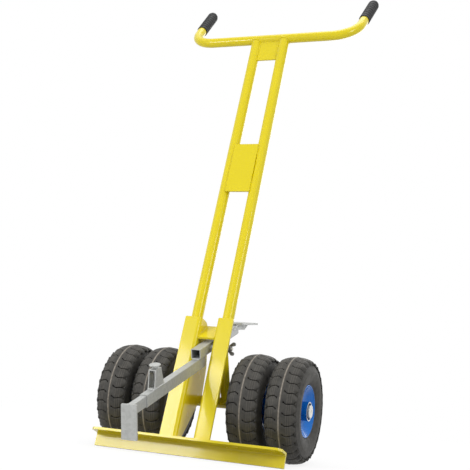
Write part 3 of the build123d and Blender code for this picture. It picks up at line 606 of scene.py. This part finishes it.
def grip(side, name):
    """Ribbed hand grip: a lathe of radius r(s) = R + h sum of flat-topped hills along the bar's end, with a
    domed tip."""
    sway = np.cos(GRIP_SLOPE) * Y + np.sin(GRIP_SLOPE) * Z
    axis = side * np.sin(GRIP_SPLAY) * X + np.cos(GRIP_SPLAY) * sway
    root = leaning(side * BAR_HALF, 0.0, BAR_RISE) + axis * GRIP_START
    along = np.linspace(0, GRIP_L, GRIP_ROWS)
    straight = GRIP_L - TIP_ROUND
    rib = (along / straight * RIBS) % 1.0
    ribbed = ease(rib, *RIB_RISE) - ease(rib, *RIB_FALL)
    dome = np.clip((along - straight) / TIP_ROUND, 0, 1)
    body_r = (GRIP_R - TIP_ROUND) + TIP_ROUND * np.sqrt(1 - dome**2)
    radius = body_r + RIB_H * ribbed * (along < straight)
    along = np.concatenate([[MOUTH_DEPTH, 0.0], along, [GRIP_L]])
    radius = np.concatenate([[BAR_R + BAR_GAP, GRIP_R - MOUTH_ROUND], radius, [0.0]])
    turn = np.linspace(0, 2 * np.pi, GRIP_COLUMNS, endpoint=False)[:, None]
    first = unit(np.cross(axis, X))
    out = np.cos(turn) * first + np.sin(turn) * unit(np.cross(axis, first))
    grid = root + along[:, None, None] * axis + radius[:, None, None] * out[None]
    made = piece(f"ribbed_grip_{name}", "frame", GRIP_RUBBER, [grid])
    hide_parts(f"grip_{name}")


for side, name in ((1, "right"), (-1, "left")):
    grip(side, name)


# Weld beads

RIPPLE = 0.0022  # spacing of a bead's ripples
RIPPLE_ROWS, FEWEST_ROWS, BEAD_COLUMNS = 5, 8, 12  # points to a ripple, fewest along a bead, round it
RIPPLE_SHARE, RIPPLE_LAG = 0.16, 0.3  # share of a bead's radius, and how far its sides trail its middle
BEAD_END = 1.6  # length of a bead's tapered ends, in radii
RING_POINTS = 97  # corners of a path round a tube
WELD = {  # radius of the bead at each joint
    "handlebar": 0.0024,
    "top_plate": 0.0018,
    "mid_plate": 0.0017,
    "toe": 0.0022,
    "axle_tube": 0.0024,
    "cross_plate": 0.0019,
    "tube_foot": 0.0018,
    "strut": 0.0022,
    "arm_side": 0.0018,
    "arm_front": 0.0019,
    "clamp": 0.0019,
    "hook": 0.0026,
}
TOP_PLATE_HEAD = 0.9  # its beads end this far below the handlebar's axis, in shares of the bar's radius
MID_PLATE_RUN, MID_PLATE_SEAT, MID_PLATE_PROUD = 0.035, -0.0133, 0.0004  # length, line, off the edge
FOLD_CLEAR = 0.004  # the flange's bead stops short of the fold
TOE_RUN = np.array((-0.012, 0.009))  # the webs' beads on the toe, behind the tubes' axes
AXLE_SECTOR = np.radians(np.linspace(133, 208, 40))  # where the webs meet the axle tube
CROSS_PLATE_BACK = np.array((-0.014, 0.030))  # the cross plate's sloping edge
CROSS_PLATE_RISE = np.array((0.0195, 0.0645))  # above the pivot
CROSS_PLATE_PROUD = 0.0018  # the bead's line, off that edge
TUBE_FOOT_HALF, TUBE_FOOT_FRONT = 0.009, -0.0155
WEB_TOP_RUN = np.array((-0.004, 0.006))
CLAMP_INSET = 0.0002


def bead(corners, radius, side=X):
    """Weld bead: a round section carried along a path. Its radius
    R (1 - s + s |sin(pi (t / step + l cos a))|) swells at each ripple by the share s, with the lag l, and
    shrinks to a point at both ends. side is a direction that the path never takes."""
    corners = np.asarray(corners)
    length = np.concatenate([[0], np.cumsum(np.linalg.norm(np.diff(corners, axis=0), axis=1))])
    spots = np.linspace(0, length[-1], max(FEWEST_ROWS, int(length[-1] / RIPPLE * RIPPLE_ROWS)))
    path = np.stack([np.interp(spots, length, corners[:, part]) for part in range(3)], axis=-1)
    tangent = unit(np.gradient(path, axis=0))
    first = unit(np.cross(tangent, side))
    second = np.cross(tangent, first)
    turn = np.linspace(0, 2 * np.pi, BEAD_COLUMNS, endpoint=False)
    ripple = np.abs(np.sin(np.pi * (spots[:, None] / RIPPLE + RIPPLE_LAG * np.cos(turn))))
    ends = np.minimum(spots, spots[::-1]) / (BEAD_END * radius)
    taper = np.sqrt(1 - (1 - np.clip(ends, 0, 1)) ** 2)
    swell = radius * (1 - RIPPLE_SHARE + RIPPLE_SHARE * ripple) * taper[:, None]
    ring = np.cos(turn)[None, :, None] * first[:, None] + np.sin(turn)[None, :, None] * second[:, None]
    return path[:, None] + swell[..., None] * ring


def tube_welds(side):
    """Beads of one upright tube and its strut: at the handlebar, on the folded upright and round both ends
    of the strut."""
    turn = np.linspace(0, 2 * np.pi, RING_POINTS)
    back = TUBE_R * np.sin(turn)
    saddle = BAR_RISE - np.sqrt(np.maximum(BAR_R**2 - back**2, BAR_NOTCH**2))
    yield bead(leaning(side * TUBE_X + TUBE_R * np.cos(turn), back, saddle), WELD["handlebar"], UP)
    foot_x = side * (TUBE_X + TUBE_FOOT_HALF * BOTH_WAYS)
    yield bead(leaning(foot_x, TUBE_FOOT_FRONT, UPRIGHT_TOP), WELD["tube_foot"], UP)
    yield bead(leaning(side * WEB_OUT, WEB_TOP_RUN, UPRIGHT_TOP), WELD["tube_foot"])

    run = np.array((SETBACK, -STRUT_RISE))
    reach = np.linalg.norm(run)
    run = run / reach
    square = np.array((-run[1], run[0]))
    x_off, n_off = STRUT_R * np.cos(turn), STRUT_R * np.sin(turn)
    foot = reach - np.sqrt(AXLE_TUBE_R**2 - n_off**2)
    head = (np.sqrt(TUBE_R**2 - x_off**2) - n_off * square[0]) / run[0]
    for slide in (foot, head):
        spot = slide * run[:, None] + n_off * square[:, None]
        path = leaning(side * TUBE_X + x_off, spot[0], STRUT_RISE + spot[1])
        yield bead(path, WELD["strut"], run[0] * BACK + run[1] * UP)


def plate_welds(side):
    """Beads of the plates on one side: top plate, mid plate, folded upright on the toe and the axle tube,
    and cross plate."""
    for face in (TOP_PLATE_FRONT, TOP_PLATE_REAR):
        edge = side * (TUBE_X - np.sqrt(TUBE_R**2 - face**2))
        ends = np.array((BAR_RISE - TOP_PLATE_H, BAR_RISE - BAR_R * TOP_PLATE_HEAD))
        yield bead(leaning(edge, face, ends), WELD["top_plate"])
    edge = side * (MID_PLATE_HALF + MID_PLATE_PROUD)
    for low in (MID_PLATE_FOOT, MID_PLATE_TOP - MID_PLATE_RUN):
        yield bead(leaning(edge, MID_PLATE_SEAT, np.array((low, low + MID_PLATE_RUN))), WELD["mid_plate"])
    flange = side * np.array((WEB_IN + FOLD_CLEAR, FLANGE_OUT))
    yield bead(leaning(flange, FLANGE_FRONT, TOE_TOP), WELD["toe"], UP)
    around = (SETBACK + AXLE_TUBE_R * np.cos(AXLE_SECTOR), AXLE_TUBE_R * np.sin(AXLE_SECTOR))
    for web in (WEB_IN, WEB_OUT):
        yield bead(leaning(side * web, TOE_RUN, TOE_TOP), WELD["toe"])
        yield bead(leaning(side * web, *around), WELD["axle_tube"])
    back = CROSS_PLATE_BACK - CROSS_PLATE_PROUD
    rise = PIVOT_RISE + CROSS_PLATE_RISE + CROSS_PLATE_PROUD
    yield bead(leaning(side * WEB_IN, back, rise), WELD["cross_plate"])


def lever_welds():
    """Beads of the foot lever: arm under the lever tube, and the clamp bracket's feet on the arm."""
    arm_x = ARM_HALF * BOTH_WAYS
    for side in BOTH_WAYS:
        yield bead(on_lever(side * ARM_HALF, np.array((ARM_BACK, LEVER_NOSE)), ARM_TOP), WELD["arm_side"])
        feet = CLAMP_PLACE + CLAMP_FOOT * BOTH_WAYS
        yield bead(on_lever(side * (ARM_HALF - CLAMP_INSET), feet, ARM_TOP), WELD["clamp"])
        yield bead(on_lever(arm_x, CLAMP_PLACE + side * CLAMP_FOOT, ARM_TOP), WELD["clamp"], FORWARD)
    yield bead(on_lever(arm_x, LEVER_NOSE, ARM_TOP), WELD["arm_front"], FORWARD)


def hook_welds():
    """Bead round the hook bar's end where the plate is welded on."""
    corners = np.array(((-1, 1), (-1, -1), (1, -1), (1, 1), (-1, 1))) * (HOOK_BAR_HALF, HOOK_BAR_TALL)
    lift = ARM_MID + corners[:, 1]
    forward = HOOK_REACH + (ARM_TOP - lift) * np.tan(HOOK_TILT)
    yield bead(on_lever(corners[:, 0], forward, lift), WELD["hook"], FORWARD)


frame_welds = [weld for side in BOTH_WAYS for half in (tube_welds, plate_welds) for weld in half(side)]
for name, body, slot, beads in (
    ("frame_weld_beads", "frame", "yellow_paint", frame_welds),
    ("lever_weld_beads", "lever", "galvanised", list(lever_welds())),
    ("hook_weld_bead", "hook", "galvanised", list(hook_welds())),
):
    piece(name, body, SLOT_FINISH[slot], beads)


# Studio: white floor, soft boxes, and the camera where the picture was taken from

WHITE = (1.0, 1.0, 1.0)
FLOOR_HALF = 14.0
FLOOR_WHITE = (0.9, 0.9, 0.9)
FLOOR_FADE = 1.6  # distance along the floor over which its real shading gives way to white
FLOOR_SHADING = ((0.25, 0.16), (1.0, 0.0))  # share of real shading, by distance in shares of the fade
FLOOR_SPREAD = ((0.25, 0.40), (0.65, 0.55))  # light that it throws back up, in the same way
SKY = ((0.0, 0.12), (0.20, 0.16), (0.42, 0.90), (1.0, 0.95))  # by height: dim walls, bright ceiling
MIDDLE = (0.0, 0.0, 0.5)  # what the lamps face
LAMPS = (  # name, place, width, height, watts
    ("left_key", (-1.19, -1.93, 1.21), 0.66, 0.74, 19.0),
    ("left_wide", (-1.50, -1.65, 1.25), 1.48, 1.60, 6.0),
    ("right_fill", (2.4, -1.0, 1.4), 0.9, 1.6, 22.0),
    ("rear_fill", (0.3, 2.7, 1.3), 1.6, 1.6, 16.0),
    ("top_light", (0.1, 0.3, 3.0), 1.6, 1.6, 16.0),
)
AZIMUTH, TILT, ROLL = np.radians((21.615, -8.735, 4.804))
RANGE = 2.275
AIM = np.array((0.02856, AXLE[1], 0.56468))
FOCAL_PX, PICTURE_PX, SENSOR = 865.9, 470.0, 36.0


def seen_directly(tree):
    """One for rays from the camera, from a reflection or through glass, and zero for light that spreads."""
    ray = add(tree, "ShaderNodeLightPath").outputs
    mirrored = maths(tree, "MAXIMUM", ray["Is Glossy Ray"], ray["Is Transmission Ray"])
    return maths(tree, "MAXIMUM", ray["Is Camera Ray"], mirrored)


def paper_white(name):
    """Backdrop paper that the camera and reflections see as white; near the cart it keeps a share of its
    real shading. It throws little light back up close by, and more further out."""
    material = bpy.data.materials.new(name)
    material.use_nodes = True
    tree = material.node_tree
    tree.nodes.clear()
    seen = seen_directly(tree)
    place = add(tree, "ShaderNodeTexCoord").outputs["Object"]
    away = add(tree, "ShaderNodeVectorMath", {0: place}, operation="LENGTH").outputs["Value"]
    share_out = maths(tree, "DIVIDE", away, FLOOR_FADE)
    shaded = ramp(tree, share_out, *FLOOR_SHADING)
    tone = blend(tree, seen, ramp(tree, share_out, *FLOOR_SPREAD), FLOOR_WHITE)
    paper = add(tree, "ShaderNodeBsdfDiffuse", {"Color": tone}).outputs[0]
    glow = add(tree, "ShaderNodeEmission", {"Color": (*WHITE, 1.0), "Strength": 1.0}).outputs[0]
    glowing = maths(tree, "MULTIPLY", seen, maths(tree, "SUBTRACT", 1.0, shaded))
    mixed = add(tree, "ShaderNodeMixShader", {0: glowing, 1: paper, 2: glow}).outputs[0]
    add(tree, "ShaderNodeOutputMaterial", {"Surface": mixed})
    return material


def set_place(made, right, up, facing, place):
    """Put an object into the scene, where its own x, y and z run right, up and along facing."""
    matrix = np.eye(4)
    matrix[:3] = np.column_stack([right, up, facing, place])
    made.matrix_world = Matrix(matrix.tolist())
    bpy.context.scene.collection.objects.link(made)


def soft_box(name, place, width, height, power):
    """Rectangular lamp at a place, facing the middle."""
    lamp = bpy.data.lights.new(name, "AREA")
    lamp.shape = "RECTANGLE"
    lamp.size, lamp.size_y, lamp.energy = width, height, power
    facing = unit(np.subtract(place, MIDDLE))
    right = unit(np.cross(Z, facing))
    set_place(bpy.data.objects.new(name, lamp), right, np.cross(facing, right), facing, place)


floor_mesh = bpy.data.meshes.new("floor")
floor_corners = [(x * FLOOR_HALF, y * FLOOR_HALF, 0) for x, y in ((-1, -1), (1, -1), (1, 1), (-1, 1))]
floor_mesh.from_pydata(floor_corners, [], [(0, 1, 2, 3)])
floor_mesh.materials.append(paper_white("white_floor"))
floor = bpy.data.objects.new("floor", floor_mesh)
bpy.context.scene.collection.objects.link(floor)

for lamp in LAMPS:
    soft_box(*lamp)

world = bpy.data.worlds.new("studio")
bpy.context.scene.world = world
world.use_nodes = True
sky = world.node_tree
sky.nodes.clear()
direction = add(sky, "ShaderNodeTexCoord").outputs["Generated"]
height = add(sky, "ShaderNodeSeparateXYZ", {"Vector": direction}).outputs["Z"]
level = blend(sky, seen_directly(sky), ramp(sky, height, *SKY), WHITE)
backdrop = add(sky, "ShaderNodeBackground", {"Color": level, "Strength": 1.0}).outputs[0]
add(sky, "ShaderNodeOutputWorld", {"Surface": backdrop})

away = np.array((np.sin(AZIMUTH) * np.cos(TILT), -np.cos(AZIMUTH) * np.cos(TILT), np.sin(TILT)))
level_right = np.array((np.cos(AZIMUTH), np.sin(AZIMUTH), 0))
level_up = np.cross(away, level_right)
lens = bpy.data.cameras.new("camera")
lens.sensor_fit = "HORIZONTAL"
lens.sensor_width = SENSOR
lens.lens = FOCAL_PX / PICTURE_PX * SENSOR
camera = bpy.data.objects.new("camera", lens)
set_place(
    camera,
    level_right * np.cos(ROLL) + level_up * np.sin(ROLL),
    level_up * np.cos(ROLL) - level_right * np.sin(ROLL),
    away,
    AIM + away * RANGE,
)
bpy.context.scene.camera = camera
bpy.context.scene.view_settings.view_transform = "Standard"
